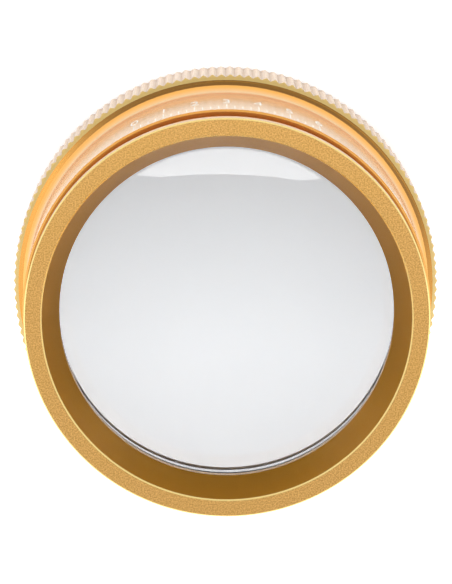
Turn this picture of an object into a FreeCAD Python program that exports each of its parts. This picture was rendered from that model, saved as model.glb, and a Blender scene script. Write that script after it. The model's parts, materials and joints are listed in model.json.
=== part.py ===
"""A focusing loupe with a 30 mm lens, standing on its knurled base ring.

Frame: millimetres, +Z up along the optical axis, origin at the centre of the face it stands on.
The lens head (rim, cell and glass) screws up and down inside the barrel to focus. It is drawn part
way up, with the focusing gap open between the rim and the barrel.
"""
import FreeCAD, Part
import math
import os
import re

import Sketcher

SIZES = {
    # whole loupe
    "full_height": 23.4,
    "running_gap": 0.05,
    "joint_gap": 0.03,
    # eye rim
    "rim_radius": 18.0,
    "rim_thickness": 1.4,
    "rim_chamfer": 0.12,
    "rim_back_chamfer": 0.12,
    "mouth_radius": 16.4,
    "mouth_chamfer": 0.12,
    "aperture_radius": 15.0,
    "aperture_depth": 3.34,
    "lip_thickness": 0.75,
    "spigot_radius": 16.3,
    # lens cell
    "cell_bore_radius": 15.35,
    "neck_radius": 16.9,
    "neck_height": 2.3,
    "cell_bottom": 9.6,
    "foot_height": 1.9,
    "thread_crest_radius": 16.95,
    "thread_depth": 0.35,
    "thread_pitch": 1.2,
    "thread_land": 0.35,
    "retainer_bore_radius": 15.93,
    # glass
    "lens_radius": 15.3,
    "lens_curve_radius": 60.0,
    "lens_edge": 1.2,
    "cushion_thickness": 0.15,
    "vertex_gap": 0.3,
    # lens spacer and retainer
    "spacer_inner_radius": 15.05,
    "spacer_chamfer": 0.15,
    "retainer_radius": 15.9,
    "retainer_inner_radius": 14.8,
    "retainer_mouth_radius": 15.1,
    "retainer_thickness": 1.4,
    "notch_width": 1.4,
    "notch_depth": 0.6,
    # stop ring
    "stop_wire": 0.8,
    "stop_ring_angle": 346.0,
    "stop_groove_height": 10.45,
    # barrel
    "focus_gap": 2.1,
    "barrel_radius": 18.3,
    "barrel_chamfer": 0.18,
    "barrel_bore_radius": 17.0,
    "bore_chamfer": 0.15,
    "relief_radius": 17.6,
    "relief_top": 13.85,
    "flank_fillet": 2.2,
    "flank_reach": 0.65,
    "flank_angle": 60.0,
    "shoulder_radius": 19.4,
    "shoulder_height": 7.3,
    "shoulder_land": 0.12,
    "sleeve_radius": 18.6,
    "sleeve_bottom": 2.2,
    # drag ring
    "drag_groove_radius": 17.74,
    "drag_groove_width": 0.8,
    "drag_height": 18.9,
    "drag_wire": 0.7,
    # base ring
    "knurl_radius": 19.85,
    "knurl_count": 148,
    "knurl_depth": 0.22,
    "knurl_width": 0.76,
    "base_chamfer": 0.3,
    "base_bore_radius": 16.6,
    # lock screws
    "screw_radius": 0.6,
    "screw_tip_radius": 15.95,
    "screw_length": 0.92,
    "screw_height": 20.9,
    "slot_width": 0.22,
    "slot_depth": 0.3,
}
SCREW_COUNT = 3
NOTCH_COUNT = 4
THREAD_TURNS = 6

doc = FreeCAD.newDocument("loupe")
sheet = doc.addObject("Spreadsheet::Sheet", "Dims")
for row, (alias, number) in enumerate(SIZES.items(), start=1):
    sheet.set(f"A{row}", alias)
    sheet.set(f"B{row}", str(number))
    sheet.setAlias(f"B{row}", alias)
doc.recompute()

# Heights along the optical axis, each as an expression of the driving dimensions
RIM_BACK = "(full_height - rim_thickness)"
APERTURE = "(full_height - aperture_depth)"
LIP_BOTTOM = "(full_height - aperture_depth - lip_thickness)"
SAG = "(lens_curve_radius - sqrt(lens_curve_radius ^ 2 - aperture_radius ^ 2))"
UPPER_LENS_TOP = f"({LIP_BOTTOM} - cushion_thickness)"
UPPER_LENS_BOTTOM = f"({UPPER_LENS_TOP} - lens_edge)"
LOWER_LENS_TOP = f"({UPPER_LENS_BOTTOM} - {SAG} - vertex_gap)"
LOWER_LENS_BOTTOM = f"({LOWER_LENS_TOP} - lens_edge)"
RETAINER_BOTTOM = f"({LOWER_LENS_BOTTOM} - retainer_thickness)"
NECK_BOTTOM = "(full_height - rim_thickness - neck_height)"
THREAD_ROOT = "(thread_crest_radius - thread_depth)"
FOOT_TOP = "(cell_bottom + foot_height)"
BARREL_TOP = "(full_height - rim_thickness - focus_gap)"


def bind(expression):
    """The expression with each dimension's name turned into a reference to the sheet."""
    return re.sub(r"[a-z_]+", lambda word: f"Dims.{word[0]}" if word[0] in SIZES else word[0], expression)


def value(expression):
    """The number that an expression of the sheet's dimensions comes to."""
    found = sheet.evalExpression(bind(expression))
    return float(getattr(found, "Value", found))


def origin_feature(body, role):
    """A body's own origin plane or axis."""
    return next(item for item in body.Origin.OriginFeatures if item.Role == role)


def hold(sketch, constraint, expression=None):
    """Add a constraint, tied to the sheet where an expression is given."""
    index = sketch.addConstraint(constraint)
    if expression is not None:
        sketch.setExpression(f"Constraints[{index}]", bind(expression))


def place_point(sketch, edge, end, across, up):
    """Hold a point of a sketch at (across, up), or on an axis where one of them is zero."""
    for kind, expression, axis in (("DistanceX", across, -2), ("DistanceY", up, -1)):
        amount = value(expression)
        if abs(amount) < 1e-9:
            hold(sketch, Sketcher.Constraint("PointOnObject", edge, end, axis))
        else:
            hold(sketch, Sketcher.Constraint(kind, -1, 1, edge, end, amount), expression)


def arc_between(first, last, radius, side):
    """An arc from first to last; side is 1 when its centre lies to the left of that direction."""
    chord = last - first
    reach = math.sqrt(radius ** 2 - (chord.Length / 2) ** 2)
    left = FreeCAD.Vector(-chord.y, chord.x, 0).normalize()
    centre = (first + last) / 2 + left * reach * side
    middle = (first + last) / 2 - centre
    return Part.Arc(first, centre + middle.normalize() * radius, last)


def closed_outline(sketch, outline):
    """Draw a closed outline of (across, up) points.

    A third entry ("radius", side) makes the edge that leaves that point an arc.
    """
    points = [FreeCAD.Vector(value(spot[0]), value(spot[1]), 0) for spot in outline]
    ends = []
    for number, spot in enumerate(outline):
        first = points[number]
        last = points[(number + 1) % len(points)]
        if len(spot) == 3:
            radius, side = spot[2]
            edge = sketch.addGeometry(arc_between(first, last, value(radius), side), False)
            hold(sketch, Sketcher.Constraint("Radius", edge, value(radius)), radius)
            starts_first = sketch.getPoint(edge, 1).distanceToPoint(first) < 1e-6
            ends.append((edge, 1, 2) if starts_first else (edge, 2, 1))
        else:
            ends.append((sketch.addGeometry(Part.LineSegment(first, last), False), 1, 2))
    for number, (edge, start, _) in enumerate(ends):
        before, _, end = ends[number - 1]
        hold(sketch, Sketcher.Constraint("Coincident", before, end, edge, start))
        place_point(sketch, edge, start, outline[number][0], outline[number][1])


def turned(label, outline):
    """A body turned about Z from an outline of (radius, height) points."""
    body = doc.addObject("PartDesign::Body", label)
    sketch = body.newObject("Sketcher::SketchObject", f"{label}_outline")
    sketch.AttachmentSupport = (origin_feature(body, "XZ_Plane"), [""])
    sketch.MapMode = "FlatFace"
    closed_outline(sketch, outline)
    turn = body.newObject("PartDesign::Revolution", f"{label}_turn")
    turn.Profile = sketch
    turn.ReferenceAxis = (sketch, ["V_Axis"])
    turn.Angle = 360
    body.Tip = turn
    doc.recompute()
    return body


def cut_round(body, name, outline, height, count, upward):
    """Cut an outline, drawn on the level at height, through a body, repeated about Z."""
    before = body.Shape.Volume
    sketch = body.newObject("Sketcher::SketchObject", f"{name}_outline")
    sketch.AttachmentSupport = (origin_feature(body, "XY_Plane"), [""])
    sketch.MapMode = "FlatFace"
    sketch.setExpression(".AttachmentOffset.Base.z", bind(height))
    closed_outline(sketch, outline)
    pocket = body.newObject("PartDesign::Pocket", f"{name}_cut")
    pocket.Profile = sketch
    pocket.Type = "ThroughAll"
    pocket.Reversed = upward
    doc.recompute()
    pattern = body.newObject("PartDesign::PolarPattern", f"{name}_pattern")
    pattern.Originals = [pocket]
    pattern.Axis = (origin_feature(body, "Z_Axis"), [""])
    pattern.Angle = 360
    pattern.Occurrences = count
    body.Tip = pattern
    doc.recompute()
    assert body.Shape.Volume < before, f"{name} cuts nothing"


def radial_cylinder(name, radius, start, length, height, angle):
    """A cylinder that lies along a radius of the loupe."""
    rod = doc.addObject("Part::Cylinder", name)
    for field, expression in (("Radius", radius), ("Height", length)):
        rod.setExpression(field, bind(expression))
    outwards = FreeCAD.Rotation(FreeCAD.Vector(0, 0, 1), angle).multiply(
        FreeCAD.Rotation(FreeCAD.Vector(0, 1, 0), 90))
    foot = FreeCAD.Rotation(FreeCAD.Vector(0, 0, 1), angle).multVec(FreeCAD.Vector(value(start), 0, 0))
    rod.Placement = FreeCAD.Placement(foot + FreeCAD.Vector(0, 0, value(height)), outwards)
    return rod


def group(name, members):
    """Several solids kept together as one object."""
    together = doc.addObject("Part::Compound", name)
    together.Links = members
    return together


def cut(name, base, tool):
    """Base with tool taken away."""
    result = doc.addObject("Part::Cut", name)
    result.Base = base
    result.Tool = tool
    return result


def screw_angles():
    """The three lock screws stand evenly round the neck."""
    return [30 + 360 / SCREW_COUNT * number for number in range(SCREW_COUNT)]


def make_screw_holes(name):
    """Drillings for the lock screws, a joint's gap wider than the screws."""
    return group(name, [
        radial_cylinder(f"{name}_{number}", "screw_radius + joint_gap", "screw_tip_radius - joint_gap",
                        "screw_length + 1", "screw_height", angle)
        for number, angle in enumerate(screw_angles())])


def make_eye_rim():
    """Flat rim, conical recess down to the lens, and the spigot that screws into the cell."""
    blank = turned("eye_rim_blank", [
        ("rim_radius - rim_chamfer", "full_height"),
        ("mouth_radius + mouth_chamfer", "full_height"),
        ("mouth_radius", "full_height - mouth_chamfer"),
        ("aperture_radius", APERTURE),
        ("aperture_radius", LIP_BOTTOM),
        ("spigot_radius", LIP_BOTTOM),
        ("spigot_radius", RIM_BACK),
        ("rim_radius - rim_back_chamfer", RIM_BACK),
        ("rim_radius", f"{RIM_BACK} + rim_back_chamfer"),
        ("rim_radius", "full_height - rim_chamfer"),
    ])
    return cut("eye_rim", blank, make_screw_holes("rim_drillings"))


def thread_outline():
    """Ridges of the focusing thread, from the neck down to the foot."""
    points = []
    for turn in range(THREAD_TURNS):
        top = f"({NECK_BOTTOM} - {turn} * thread_pitch - thread_depth)"
        points += [
            (THREAD_ROOT, f"{top} + thread_depth / 2"),
            (THREAD_ROOT, f"{top} - thread_depth / 2"),
            ("thread_crest_radius", f"{top} - thread_depth"),
            ("thread_crest_radius", f"{top} - thread_depth - thread_land"),
        ]
    return points


def make_lens_cell():
    """Tube that carries the glass, with the focusing thread outside."""
    groove_half = "(stop_wire / 2 + running_gap)"
    groove_radius = "(relief_radius - stop_wire - 3 * running_gap)"
    blank = turned("lens_cell_blank", [
        ("neck_radius", RIM_BACK),
        ("neck_radius", f"{NECK_BOTTOM}"),
        *thread_outline(),
        (THREAD_ROOT, f"{FOOT_TOP} + thread_depth"),
        ("neck_radius", FOOT_TOP),
        ("neck_radius", f"stop_groove_height + {groove_half}"),
        (groove_radius, f"stop_groove_height + {groove_half}"),
        (groove_radius, f"stop_groove_height - {groove_half}"),
        ("neck_radius", f"stop_groove_height - {groove_half}"),
        ("neck_radius", "cell_bottom"),
        ("retainer_bore_radius", "cell_bottom"),
        ("retainer_bore_radius", LOWER_LENS_BOTTOM),
        ("cell_bore_radius", LOWER_LENS_BOTTOM),
        ("cell_bore_radius", LIP_BOTTOM),
        ("spigot_radius + joint_gap", LIP_BOTTOM),
        ("spigot_radius + joint_gap", RIM_BACK),
    ])
    return cut("lens_cell", blank, make_screw_holes("cell_drillings"))


def make_lens(label, top, bottom):
    """Plano-convex element, curved side up, with a narrow ground flat round the curve."""
    return turned(label, [
        ("lens_radius", bottom),
        ("lens_radius", top),
        ("aperture_radius", top, ("lens_curve_radius", 1)),
        ("0", f"{top} + {SAG}"),
        ("0", bottom),
    ])


def make_lens_cushion():
    """Thin soft ring between the rim's lip and the glass."""
    return turned("lens_cushion", [
        ("aperture_radius + running_gap", UPPER_LENS_TOP),
        ("lens_radius", UPPER_LENS_TOP),
        ("lens_radius", LIP_BOTTOM),
        ("aperture_radius + running_gap", LIP_BOTTOM),
    ])


def make_lens_spacer():
    """Ring that holds the two elements apart, chamfered at both ends."""
    return turned("lens_spacer", [
        ("lens_radius", LOWER_LENS_TOP),
        ("lens_radius", UPPER_LENS_BOTTOM),
        ("spacer_inner_radius + spacer_chamfer", UPPER_LENS_BOTTOM),
        ("spacer_inner_radius", f"{UPPER_LENS_BOTTOM} - spacer_chamfer"),
        ("spacer_inner_radius", f"{LOWER_LENS_TOP} + spacer_chamfer"),
        ("spacer_inner_radius + spacer_chamfer", LOWER_LENS_TOP),
    ])


def make_lens_retainer():
    """Threaded ring under the lower element, with notches for a spanner."""
    body = turned("lens_retainer", [
        ("retainer_radius", RETAINER_BOTTOM),
        ("retainer_radius", LOWER_LENS_BOTTOM),
        ("aperture_radius", LOWER_LENS_BOTTOM),
        ("retainer_inner_radius", f"{LOWER_LENS_BOTTOM} - spacer_chamfer"),
        ("retainer_mouth_radius", RETAINER_BOTTOM),
    ])
    cut_round(body, "notch", [
        ("retainer_inner_radius", "-notch_width / 2"),
        ("retainer_radius + notch_depth", "-notch_width / 2"),
        ("retainer_radius + notch_depth", "notch_width / 2"),
        ("retainer_inner_radius", "notch_width / 2"),
    ], f"{RETAINER_BOTTOM} + notch_depth", NOTCH_COUNT, False)
    return body


def wire_ring(label, centre_radius, wire, height, angle="360"):
    """A ring of round wire about Z."""
    ring = doc.addObject("Part::Torus", label)
    ring.setExpression("Radius1", bind(centre_radius))
    ring.setExpression("Radius2", bind(f"{wire} / 2"))
    ring.setExpression("Angle3", bind(angle))
    ring.setExpression(".Placement.Base.z", bind(height))
    return ring


def make_stop_ring():
    """Split wire ring sprung out against the barrel, carried up and down in the cell's groove."""
    centre = "relief_radius - running_gap - stop_wire / 2"
    return wire_ring("stop_ring", centre, "stop_wire", "stop_groove_height", "stop_ring_angle")


def make_lock_screws():
    """Three slotted grub screws that lock the rim on the cell."""
    screws = []
    for number, angle in enumerate(screw_angles()):
        rod = radial_cylinder(f"screw_rod_{number}", "screw_radius", "screw_tip_radius", "screw_length",
                              "screw_height", angle)
        slot = doc.addObject("Part::Box", f"screw_slot_{number}")
        for field, expression in (("Length", "slot_depth * 2"), ("Width", "screw_radius * 4"),
                                  ("Height", "slot_width")):
            slot.setExpression(field, bind(expression))
        turn = FreeCAD.Rotation(FreeCAD.Vector(0, 0, 1), angle)
        corner = FreeCAD.Vector(value("screw_tip_radius + screw_length - slot_depth"),
                                value("-2 * screw_radius"), 0)
        slot.Placement = FreeCAD.Placement(
            turn.multVec(corner) + FreeCAD.Vector(0, 0, value("screw_height - slot_width / 2")), turn)
        screws.append(cut(f"screw_{number}", rod, slot))
    return group("rim_lock_screws", screws)


def make_barrel():
    """Band with a concave flank down to the shoulder, and the sleeve inside the base ring."""
    flank_height = "sqrt(2 * flank_fillet * flank_reach - flank_reach ^ 2)"
    slope = "((shoulder_radius - barrel_radius - flank_reach) / tan(flank_angle * 1deg))"
    slope_top = f"(shoulder_height + shoulder_land + {slope})"
    groove_top = "drag_height + drag_groove_width / 2"
    groove_bottom = "drag_height - drag_groove_width / 2"
    return turned("barrel", [
        ("barrel_bore_radius + bore_chamfer", BARREL_TOP),
        ("barrel_radius - barrel_chamfer", BARREL_TOP),
        ("barrel_radius", f"{BARREL_TOP} - barrel_chamfer"),
        ("barrel_radius", f"{slope_top} + {flank_height}", ("flank_fillet", 1)),
        ("barrel_radius + flank_reach", slope_top),
        ("shoulder_radius", "shoulder_height + shoulder_land"),
        ("shoulder_radius", "shoulder_height"),
        ("sleeve_radius", "shoulder_height"),
        ("sleeve_radius", "sleeve_bottom"),
        ("relief_radius", "sleeve_bottom"),
        ("relief_radius", "relief_top"),
        ("barrel_bore_radius", "relief_top"),
        ("barrel_bore_radius", groove_bottom),
        ("drag_groove_radius", groove_bottom),
        ("drag_groove_radius", groove_top),
        ("barrel_bore_radius", groove_top),
        ("barrel_bore_radius", f"{BARREL_TOP} - bore_chamfer"),
    ])


def make_drag_ring():
    """Greased O-ring in the barrel's bore that gives the focusing thread its drag."""
    centre = "thread_crest_radius + running_gap + drag_wire / 2"
    return wire_ring("drag_ring", centre, "drag_wire", "drag_height")


def make_base_ring():
    """Straight-knurled ring that the loupe stands on."""
    body = turned("base_ring", [
        ("base_bore_radius + base_chamfer", "0"),
        ("knurl_radius - base_chamfer", "0"),
        ("knurl_radius", "base_chamfer"),
        ("knurl_radius", "shoulder_height - (knurl_radius - shoulder_radius)"),
        ("shoulder_radius", "shoulder_height"),
        ("sleeve_radius + joint_gap", "shoulder_height"),
        ("sleeve_radius + joint_gap", "sleeve_bottom"),
        ("base_bore_radius", "sleeve_bottom"),
        ("base_bore_radius", "base_chamfer"),
    ])
    outer = "knurl_radius * 1.02"
    flare = "(knurl_width / 2 / knurl_depth * 0.02 * knurl_radius + knurl_width / 2)"
    cut_round(body, "knurl", [
        ("knurl_radius - knurl_depth", "0"),
        (outer, f"-{flare}"),
        (outer, flare),
    ], "0", int(value("knurl_count")), True)
    return body


NODES = [
    make_eye_rim(),
    make_lens_cell(),
    make_lens("upper_lens", UPPER_LENS_TOP, UPPER_LENS_BOTTOM),
    make_lens("lower_lens", LOWER_LENS_TOP, LOWER_LENS_BOTTOM),
    make_lens_cushion(),
    make_lens_spacer(),
    make_lens_retainer(),
    make_stop_ring(),
    make_lock_screws(),
    make_barrel(),
    make_drag_ring(),
    make_base_ring(),
]
doc.recompute()

for item in doc.Objects:
    assert "Invalid" not in item.State and "Error" not in item.State, f"{item.Label} failed: {item.State}"
for node in NODES:
    shape = node.Shape
    assert not shape.isNull() and shape.isValid() and shape.Volume > 0, f"{node.Label} has no valid shape"

os.makedirs("parts", exist_ok=True)
for node in NODES:
    node.Shape.exportStep(os.path.join("parts", f"{node.Label}.step"))
    print(f"{node.Label}: {len(node.Shape.Solids)} solid(s), {node.Shape.Volume:.1f} mm3")
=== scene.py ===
"""Looks of the gold focusing loupe: materials, optics, focus scale, studio and camera.

Metres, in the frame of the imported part: +Z runs up the optical axis from the
foot of the base ring to the eye rim, and the camera stands on the -Y side.
"""

import json
import math

import bmesh
import bpy
from mathutils import Matrix, Vector

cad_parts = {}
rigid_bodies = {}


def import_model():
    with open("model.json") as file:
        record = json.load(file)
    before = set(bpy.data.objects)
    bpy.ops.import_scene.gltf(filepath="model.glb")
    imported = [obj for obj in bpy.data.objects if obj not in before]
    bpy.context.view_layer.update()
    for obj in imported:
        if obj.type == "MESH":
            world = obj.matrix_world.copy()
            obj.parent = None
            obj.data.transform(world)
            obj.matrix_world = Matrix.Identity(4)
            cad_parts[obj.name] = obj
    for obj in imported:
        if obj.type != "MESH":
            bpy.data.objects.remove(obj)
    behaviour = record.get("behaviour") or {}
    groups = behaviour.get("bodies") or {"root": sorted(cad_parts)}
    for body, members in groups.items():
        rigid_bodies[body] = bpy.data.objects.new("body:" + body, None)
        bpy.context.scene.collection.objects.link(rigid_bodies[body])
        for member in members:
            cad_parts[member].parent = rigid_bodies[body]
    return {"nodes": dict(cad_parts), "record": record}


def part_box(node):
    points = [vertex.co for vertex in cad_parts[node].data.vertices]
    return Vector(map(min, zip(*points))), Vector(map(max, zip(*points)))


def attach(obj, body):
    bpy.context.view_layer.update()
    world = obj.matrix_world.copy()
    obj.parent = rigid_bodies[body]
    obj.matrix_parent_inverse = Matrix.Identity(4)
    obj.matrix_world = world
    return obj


MM = 0.001

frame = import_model()
for spare in [o for o in bpy.data.objects if o.name in ("Cube", "Light", "Camera")]:
    bpy.data.objects.remove(spare)
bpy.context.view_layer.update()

# Where the main edges are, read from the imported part.
RIM_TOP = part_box("eye_rim")[1].z
BAND_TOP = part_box("barrel")[1].z
BAND = next(mount for mount in frame["record"]["mounts"] if mount["name"] == "band")
BAND_RADIUS = BAND["dims"]["r_mm"] * MM

# ---------------------------------------------------------------- materials


class NodeTree:
    """Short calls for making shader nodes in one tree."""

    def __init__(self, owner):
        owner.use_nodes = True
        self.tree = owner.node_tree
        self.tree.nodes.clear()
        self.place = self.tree.nodes.new("ShaderNodeTexCoord")

    def set(self, node, values):
        """Gives a node's inputs a number, a colour, or another node's output."""
        for key, value in values.items():
            socket = node.inputs[key]
            if isinstance(value, bpy.types.NodeSocket):
                self.tree.links.new(value, socket)
            else:
                socket.default_value = value

    def node(self, kind, inputs=None, **settings):
        made = self.tree.nodes.new("ShaderNode" + kind)
        for key, value in settings.items():
            setattr(made, key, value)
        self.set(made, inputs or {})
        return made

    def math(self, operation, a, b=0.0, c=0.0):
        return self.node("Math", {0: a, 1: b, 2: c}, operation=operation).outputs[0]

    def band(self, value, low, high, soft):
        """1 where value lies between low and high, fading to 0 over soft."""
        up = self.ramp(value, low - soft, low)
        down = self.ramp(value, high, high + soft)
        return self.math("SUBTRACT", up, down)

    def ramp(self, value, start, end, to_low=0.0, to_high=1.0):
        return self.node(
            "MapRange",
            {0: value, 1: start, 2: end, 3: to_low, 4: to_high},
            clamp=True,
        ).outputs[0]


class Shader(NodeTree):
    """A node material built round one Principled shader."""

    def __init__(self, name, **values):
        self.material = bpy.data.materials.new(name)
        super().__init__(self.material)
        output = self.node("OutputMaterial")
        self.surface = self.node("BsdfPrincipled", values)
        self.tree.links.new(self.surface.outputs[0], output.inputs["Surface"])

    def object_xyz(self):
        split = self.node("SeparateXYZ", {0: self.place.outputs["Object"]})
        return split.outputs

    def radius(self):
        """Distance from the optical axis."""
        x, y, _ = self.object_xyz()
        return self.math("SQRT", self.math("MULTIPLY_ADD", x, x, self.math("MULTIPLY", y, y)))

    def facing_up(self):
        """1 on a flat top, 0 on an upright wall, -1 underneath."""
        return self.node("SeparateXYZ", {0: self.place.outputs["Normal"]}).outputs[2]

    def noise(self, size, detail=2.0, vector=None, roughness=0.5):
        """Noise between 0 and 1 with blotches about size metres across."""
        return self.node(
            "TexNoise",
            {
                "Vector": vector or self.place.outputs["Object"],
                "Scale": 1 / size,
                "Detail": detail,
                "Roughness": roughness,
            },
        ).outputs[0]

    def turned_coordinates(self):
        """Radius and height, with a slow drift round the axis, so that noise runs in rings."""
        x, y, z = self.object_xyz()
        drift = self.math("MULTIPLY", self.math("ADD", x, y), 0.004)
        return self.node("CombineXYZ", {0: self.radius(), 1: z, 2: drift}).outputs[0]

    def mix(self, factor, a, b):
        made = self.node("Mix", data_type="RGBA")
        for index, value in ((0, factor), (6, a), (7, b)):
            if isinstance(value, bpy.types.NodeSocket):
                self.tree.links.new(value, made.inputs[index])
            else:
                made.inputs[index].default_value = value
        return made.outputs[2]

    def bump(self, height, strength, distance):
        values = {"Height": height, "Strength": strength, "Distance": distance}
        return self.node("Bump", values).outputs[0]


# GOLD_RICH and GOLD_DEEP are painted reflection tones for the mouth and the flank; GOLD_BRIGHT is
# the diamond-cut chamfer tone, and on the base ring a painted highlight.
GOLD = (0.62, 0.32, 0.050, 1)
GOLD_DEEP = (0.78, 0.33, 0.008, 1)
GOLD_RICH = (0.80, 0.38, 0.030, 1)
GOLD_BRIGHT = (0.90, 0.70, 0.26, 1)

ANODISED = {
    "Metallic": 1.0,
    "Coat Weight": 0.7,
    "Coat Roughness": 0.25,
    "Coat IOR": 1.5,
}


def blasted_gold():
    """Anodised eye rim: bead-blasted face, diamond-cut chamfers, satin mouth painted a richer
    gold as a painted reflection of the gold around it.
    """
    s = Shader("blasted_gold", **ANODISED)
    up = s.facing_up()
    chamfer = s.band(up, 0.60, 0.80, 0.04)
    mouth = s.band(up, 0.30, 0.50, 0.04)
    grain = s.noise(0.13 * MM, detail=3, roughness=0.6)
    patch = s.noise(2.5 * MM)
    rings = s.noise(0.09 * MM, vector=s.turned_coordinates())
    tone = s.mix(s.ramp(grain, 0.38, 0.62), (0.42, 0.22, 0.050, 1), (0.72, 0.41, 0.12, 1))
    tone = s.mix(s.math("MULTIPLY", patch, 0.3), tone, (0.58, 0.32, 0.05, 1))
    # Painted reflection: the mouth is painted a richer gold that stands in for light bounced off
    # the gold faces across it.
    tone = s.mix(mouth, tone, GOLD_RICH)
    tone = s.mix(chamfer, tone, GOLD_BRIGHT)
    rough = s.ramp(grain, 0.3, 0.7, 0.40, 0.52)
    rough = s.math("SUBTRACT", rough, s.math("MULTIPLY", chamfer, 0.26))
    blasted = s.bump(grain, 0.5, 0.02 * MM)
    cut = s.bump(rings, 0.12, 0.01 * MM)
    normal = s.mix(chamfer, blasted, cut)
    s.set(s.surface, {"Base Color": tone, "Roughness": rough, "Normal": normal})
    return s.material


def turned_gold():
    """Anodised barrel and cell: fine turning lines round the axis, and the sloping flank painted
    a deeper orange as a painted reflection.
    """
    s = Shader("turned_gold", **{**ANODISED, "Coat Weight": 1.0, "Coat IOR": 1.8})
    rings = s.noise(0.07 * MM, detail=3, vector=s.turned_coordinates())
    patch = s.noise(3.5 * MM)
    flank_painted_reflection = s.ramp(s.facing_up(), 0.38, 0.62)
    tone = s.mix(s.ramp(rings, 0.3, 0.7), (0.60, 0.36, 0.13, 1), (0.70, 0.44, 0.19, 1))
    tone = s.mix(s.math("MULTIPLY", patch, 0.15), tone, GOLD)
    # Painted reflection: faces sloping up are painted a deeper orange that stands in for light
    # bounced between the gold faces of the groove.
    tone = s.mix(flank_painted_reflection, tone, GOLD_DEEP)
    rough = s.ramp(rings, 0.3, 0.7, 0.18, 0.28)
    s.set(
        s.surface,
        {
            "Base Color": tone,
            "Roughness": rough,
            "Normal": s.bump(rings, 0.15, 0.01 * MM),
        },
    )
    return s.material


def knurled_gold():
    """Anodised base ring: bright worn crests, roots between the teeth darkened as painted shade,
    and the top chamfer painted paler as a painted highlight.
    """
    s = Shader("knurled_gold", **ANODISED)
    crest_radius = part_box("base_ring")[1].x
    tooth_depth = 0.22 * MM
    crest = s.ramp(s.radius(), crest_radius - tooth_depth, crest_radius)
    grain = s.noise(0.16 * MM, detail=3)
    patch = s.noise(1.6 * MM)
    # Painted shade: the roots between the teeth are painted dark brown; the paler crests stand
    # for wear.
    tone = s.mix(crest, (0.30, 0.14, 0.02, 1), (0.52, 0.30, 0.08, 1))
    tone = s.mix(s.math("MULTIPLY", patch, 0.3), tone, GOLD)
    # Painted highlight: the top chamfer is painted part way to bright gold, standing in for the
    # bright line it catches from the light.
    chamfer = s.band(s.facing_up(), 0.6, 0.8, 0.05)
    tone = s.mix(s.math("MULTIPLY", chamfer, 0.45), tone, GOLD_BRIGHT)
    rough = s.math("ADD", s.ramp(crest, 0, 1, 0.34, 0.22), s.math("MULTIPLY", grain, 0.06))
    s.set(
        s.surface,
        {
            "Base Color": tone,
            "Roughness": rough,
            "Normal": s.bump(grain, 0.15, 0.01 * MM),
        },
    )
    return s.material


def clear_anodised():
    """Satin aluminium rings that hold the glass."""
    s = Shader("clear_anodised", Metallic=1.0)
    rings = s.noise(0.12 * MM, detail=3, vector=s.turned_coordinates())
    patch = s.noise(2 * MM)
    tone = s.mix(patch, (0.93, 0.93, 0.94, 1), (0.98, 0.98, 0.98, 1))
    s.set(
        s.surface,
        {
            "Base Color": tone,
            "Roughness": s.ramp(rings, 0.3, 0.7, 0.25, 0.4),
            "Normal": s.bump(rings, 0.4, 0.02 * MM),
        },
    )
    return s.material


def optical_glass():
    """Glass with polished faces and a finely ground edge.

    The eye side alone keeps its full gloss; the other faces reflect little, as if coated.
    """
    s = Shader("optical_glass", **{"IOR": 1.517, "Transmission Weight": 1.0})
    ground = s.ramp(s.math("ABSOLUTE", s.facing_up()), 0.25, 0.15)
    haze = s.noise(4 * MM, detail=3)
    rough = s.math("MAXIMUM", s.math("MULTIPLY", ground, 0.5), s.ramp(haze, 0.62, 0.9, 0.0, 0.02))
    tone = s.mix(ground, (0.985, 0.993, 1.0, 1), (0.8, 0.84, 0.82, 1))
    above_foot, soft = 1.25 * MM, 0.02 * MM
    eye_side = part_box("upper_lens")[0].z + above_foot
    gloss = s.ramp(s.object_xyz()[2], eye_side - soft, eye_side + soft)
    glint = s.mix(gloss, (0.06, 0.06, 0.08, 1), (1, 1, 1, 1))
    s.set(s.surface, {"Base Color": tone, "Roughness": rough, "Specular Tint": glint})
    return s.material


def soft_seal():
    s = Shader("soft_seal")
    grain = s.noise(0.1 * MM, detail=4)
    tone = s.mix(grain, (0.012, 0.012, 0.012, 1), (0.035, 0.034, 0.033, 1))
    s.set(
        s.surface,
        {
            "Base Color": tone,
            "Roughness": s.ramp(grain, 0.3, 0.7, 0.5, 0.68),
            "Normal": s.bump(grain, 0.3, 0.02 * MM),
        },
    )
    return s.material


def drawn_steel(name, light, dark, size):
    s = Shader(name, Metallic=1.0)
    streak = s.noise(size, detail=3, vector=s.turned_coordinates())
    s.set(
        s.surface,
        {
            "Base Color": s.mix(streak, dark, light),
            "Roughness": s.ramp(streak, 0.3, 0.7, 0.25, 0.42),
            "Normal": s.bump(streak, 0.2, 0.01 * MM),
        },
    )
    return s.material


FINISHES = {
    "gold_blasted": blasted_gold(),
    "gold_turned": turned_gold(),
    "gold_knurled": knurled_gold(),
    "clear_anodised": clear_anodised(),
    "optical_glass": optical_glass(),
    "soft_seal": soft_seal(),
    "spring_wire": drawn_steel(
        "spring_wire", (0.62, 0.61, 0.59, 1), (0.42, 0.41, 0.40, 1), 0.08 * MM
    ),
    "screw_steel": drawn_steel(
        "screw_steel", (0.30, 0.29, 0.28, 1), (0.16, 0.155, 0.15, 1), 0.12 * MM
    ),
}

for node in frame["nodes"].values():
    for material_slot in node.material_slots:
        material_slot.material = FINISHES[material_slot.material.name]

# -------------------------------------------------------------- focus scale

TICK_STEP = 0.72 * MM
TICKS_EACH_WAY = 12
TICKS_PER_NUMBER = 4
TICK_WIDTH = 0.07 * MM
TICK_TOP = BAND_TOP - 0.9 * MM
SHORT_TICK, LONG_TICK = 1.3 * MM, 2.6 * MM
DIGIT_SIZE = 1.9 * MM
DIGIT_STRETCH = 1.9
DIGIT_GAP = 0.9 * MM
MARK_RISE = 0.018 * MM


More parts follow.
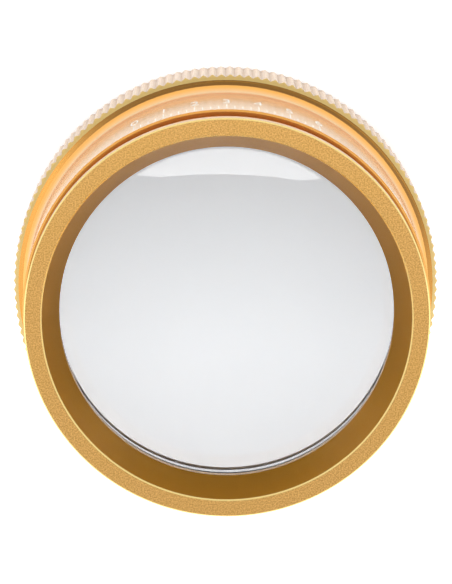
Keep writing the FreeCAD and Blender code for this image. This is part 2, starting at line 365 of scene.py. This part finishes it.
def on_band(along, down, rise):
    """A point of the flat drawing laid round the band.

    The middle of the drawing faces -Y and its top points towards the foot.
    """
    angle = along / BAND_RADIUS
    reach = BAND_RADIUS + rise
    return Vector((-reach * math.sin(angle), -reach * math.cos(angle), TICK_TOP - down))


def add_tick(scale, along, length):
    """One stroke of the scale, a low slab with its foot just under the surface."""
    corners = [
        scale.verts.new(on_band(along + side * TICK_WIDTH / 2, down, rise))
        for rise in (-MARK_RISE / 2, MARK_RISE)
        for side, down in ((-1, 0), (1, 0), (1, length), (-1, length))
    ]
    foot, top = corners[:4], corners[4:]
    scale.faces.new(foot[::-1])
    scale.faces.new(top)
    for n in range(4):
        after = (n + 1) % 4
        scale.faces.new((foot[n], foot[after], top[after], top[n]))


def add_number(scale, along, text):
    """A number of the scale, its outline bent round the band."""
    curve = bpy.data.curves.new("number", "FONT")
    curve.body = text
    curve.size = DIGIT_SIZE
    curve.align_x = "CENTER"
    curve.extrude = MARK_RISE / 2
    curve.offset = -0.02 * DIGIT_SIZE
    holder = bpy.data.objects.new("number", curve)
    bpy.context.scene.collection.objects.link(holder)
    depsgraph = bpy.context.evaluated_depsgraph_get()
    flat = bpy.data.meshes.new_from_object(holder.evaluated_get(depsgraph))
    for vertex in flat.vertices:
        x, y, z = vertex.co
        down = LONG_TICK + DIGIT_GAP + y * DIGIT_STRETCH
        vertex.co = on_band(along + x, down, z + MARK_RISE / 2)
    scale.from_mesh(flat)
    bpy.data.objects.remove(holder)
    bpy.data.meshes.remove(flat)


def focus_scale():
    """Laser-marked focusing scale round the side of the band that faces -Y."""
    scale = bmesh.new()
    for number in range(-TICKS_EACH_WAY, TICKS_EACH_WAY + 1):
        numbered = number % TICKS_PER_NUMBER == 0
        add_tick(scale, number * TICK_STEP, LONG_TICK if numbered else SHORT_TICK)
        if numbered:
            shown = (number + TICKS_EACH_WAY) // TICKS_PER_NUMBER
            add_number(scale, number * TICK_STEP, str(shown))
    mesh = bpy.data.meshes.new("focus_scale")
    scale.to_mesh(mesh)
    scale.free()
    made = bpy.data.objects.new("focus_scale", mesh)
    bpy.context.scene.collection.objects.link(made)
    s = Shader("laser_mark")
    grain = s.noise(0.05 * MM, detail=3)
    s.set(
        s.surface,
        {
            "Base Color": s.mix(grain, (0.80, 0.76, 0.70, 1), (0.95, 0.93, 0.90, 1)),
            "Roughness": s.ramp(grain, 0.3, 0.7, 0.5, 0.7),
            "Normal": s.bump(grain, 0.3, 0.005 * MM),
        },
    )
    mesh.materials.append(s.material)
    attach(made, "barrel")


focus_scale()

# ------------------------------------------------------------------- studio


def floor():
    mesh = bpy.data.meshes.new("floor")
    half = 1.5
    mesh.from_pydata(
        [(-half, -half, 0), (half, -half, 0), (half, half, 0), (-half, half, 0)],
        [],
        [(0, 1, 2, 3)],
    )
    made = bpy.data.objects.new("floor", mesh)
    bpy.context.scene.collection.objects.link(made)
    s = Shader("pale_floor", Roughness=0.6)
    tone = s.mix(s.noise(0.05, detail=4), (0.86, 0.86, 0.86, 1), (0.9, 0.9, 0.9, 1))
    # Painted light: the floor glows though it is no lamp, from 0.24 towards -Y to 0.60 towards
    # +Y, a painted pool of light under and behind the loupe.
    painted_light_pool = s.ramp(s.object_xyz()[1], -13 * MM, 6 * MM, 0.24, 0.60)
    s.set(
        s.surface,
        {"Base Color": tone, "Emission Color": (0.93, 0.96, 1.0, 1), "Emission Strength": painted_light_pool},
    )
    mesh.materials.append(s.material)
    made.location.z = -0.02 * MM


def window_panel(target):
    """The key light: a wide level panel a metre up towards -Y.

    The ends of its near edge bow towards the loupe, which bends the bright arc in the lens.
    """
    height, reach = 1.0, 0.98
    near, far = 0.287, 0.53
    bow, skew = 0.23, 0.012
    steps = 24
    across = [reach * (2 * step / steps - 1) for step in range(steps + 1)]
    inner = [(x, -(near - bow * x * x + skew * x), height) for x in across]
    outer = [(x, -far, height) for x in across]
    faces = [(n, n + 1, n + steps + 2, n + steps + 1) for n in range(steps)]
    mesh = bpy.data.meshes.new("window_panel")
    mesh.from_pydata(inner + outer, [], faces)
    made = bpy.data.objects.new("window_panel", mesh)
    made.location = target
    made.visible_camera = False
    bpy.context.scene.collection.objects.link(made)
    s = Shader("window_light", Roughness=1.0)
    s.set(
        s.surface,
        {"Base Color": (0, 0, 0, 1), "Emission Color": (1, 1, 1, 1), "Emission Strength": 6.7},
    )
    mesh.materials.append(s.material)


def softbox(name, across, off_zenith, distance, width, length, radiance, target):
    """A rectangular light on the side across, off_zenith degrees from straight up."""
    lamp = bpy.data.lights.new(name, "AREA")
    lamp.shape = "RECTANGLE"
    lamp.size, lamp.size_y = length, width
    lamp.energy = radiance * math.pi * width * length
    made = bpy.data.objects.new(name, lamp)
    angle = math.radians(off_zenith)
    way = Vector(across) * math.sin(angle) + Vector((0, 0, 1)) * math.cos(angle)
    side = Vector((-across[1], across[0], 0))
    back = way.normalized()
    turn = Matrix((side, back.cross(side), back)).transposed()
    made.matrix_world = Matrix.Translation(target + way * distance) @ turn.to_4x4()
    made.visible_camera = False
    bpy.context.scene.collection.objects.link(made)


def world():
    """A white room that is brighter low down, with its dim side half way up beyond -Y."""
    made = bpy.data.worlds.new("studio")
    bpy.context.scene.world = made
    room = NodeTree(made)
    x, y, z = room.node("SeparateXYZ", {0: room.place.outputs["Generated"]}).outputs
    glow = room.ramp(z, 0.0, 0.8, 1.05, 0.85)
    side = room.math("MULTIPLY_ADD", x, -0.35, room.math("MULTIPLY", y, -1.0))
    dim = room.math("MULTIPLY", room.band(z, 0.45, 0.80, 0.10), room.ramp(side, 0.15, 0.45))
    glow = room.math("MULTIPLY", glow, room.ramp(dim, 0.0, 1.0, 1.0, 0.25))
    background = room.node("Background", {0: (0.98, 0.99, 1.0, 1), 1: glow})
    output = room.node("OutputWorld")
    room.tree.links.new(background.outputs[0], output.inputs[0])


def camera():
    """A long lens from straight above, tipped 11 degrees towards -Y."""
    tilt, yaw = math.radians(10.97), math.radians(-0.46)
    aim_depth = 0.25 * MM
    turn = (
        Matrix.Rotation(tilt, 3, "X")
        @ Matrix.Rotation(math.pi, 3, "Z")
        @ Matrix.Rotation(yaw, 3, "Y")
    )
    mouth = Vector((0, 0, RIM_TOP - aim_depth))
    seen_at = Vector((0.09, -2.44, -265.5)) * MM
    data = bpy.data.cameras.new("camera")
    data.lens = 184.9
    data.clip_start, data.clip_end = 0.01, 10
    made = bpy.data.objects.new("camera", data)
    made.matrix_world = Matrix.Translation(mouth - turn @ seen_at) @ turn.to_4x4()
    bpy.context.scene.collection.objects.link(made)
    bpy.context.scene.camera = made


LENS = Vector((0, 0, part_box("upper_lens")[1].z))
floor()
world()
window_panel(LENS)
softbox("left", (1, 0, 0), 60, 1.0, 0.30, 0.9, 0.35, LENS)
camera()
bpy.context.scene.view_settings.view_transform = "Standard"
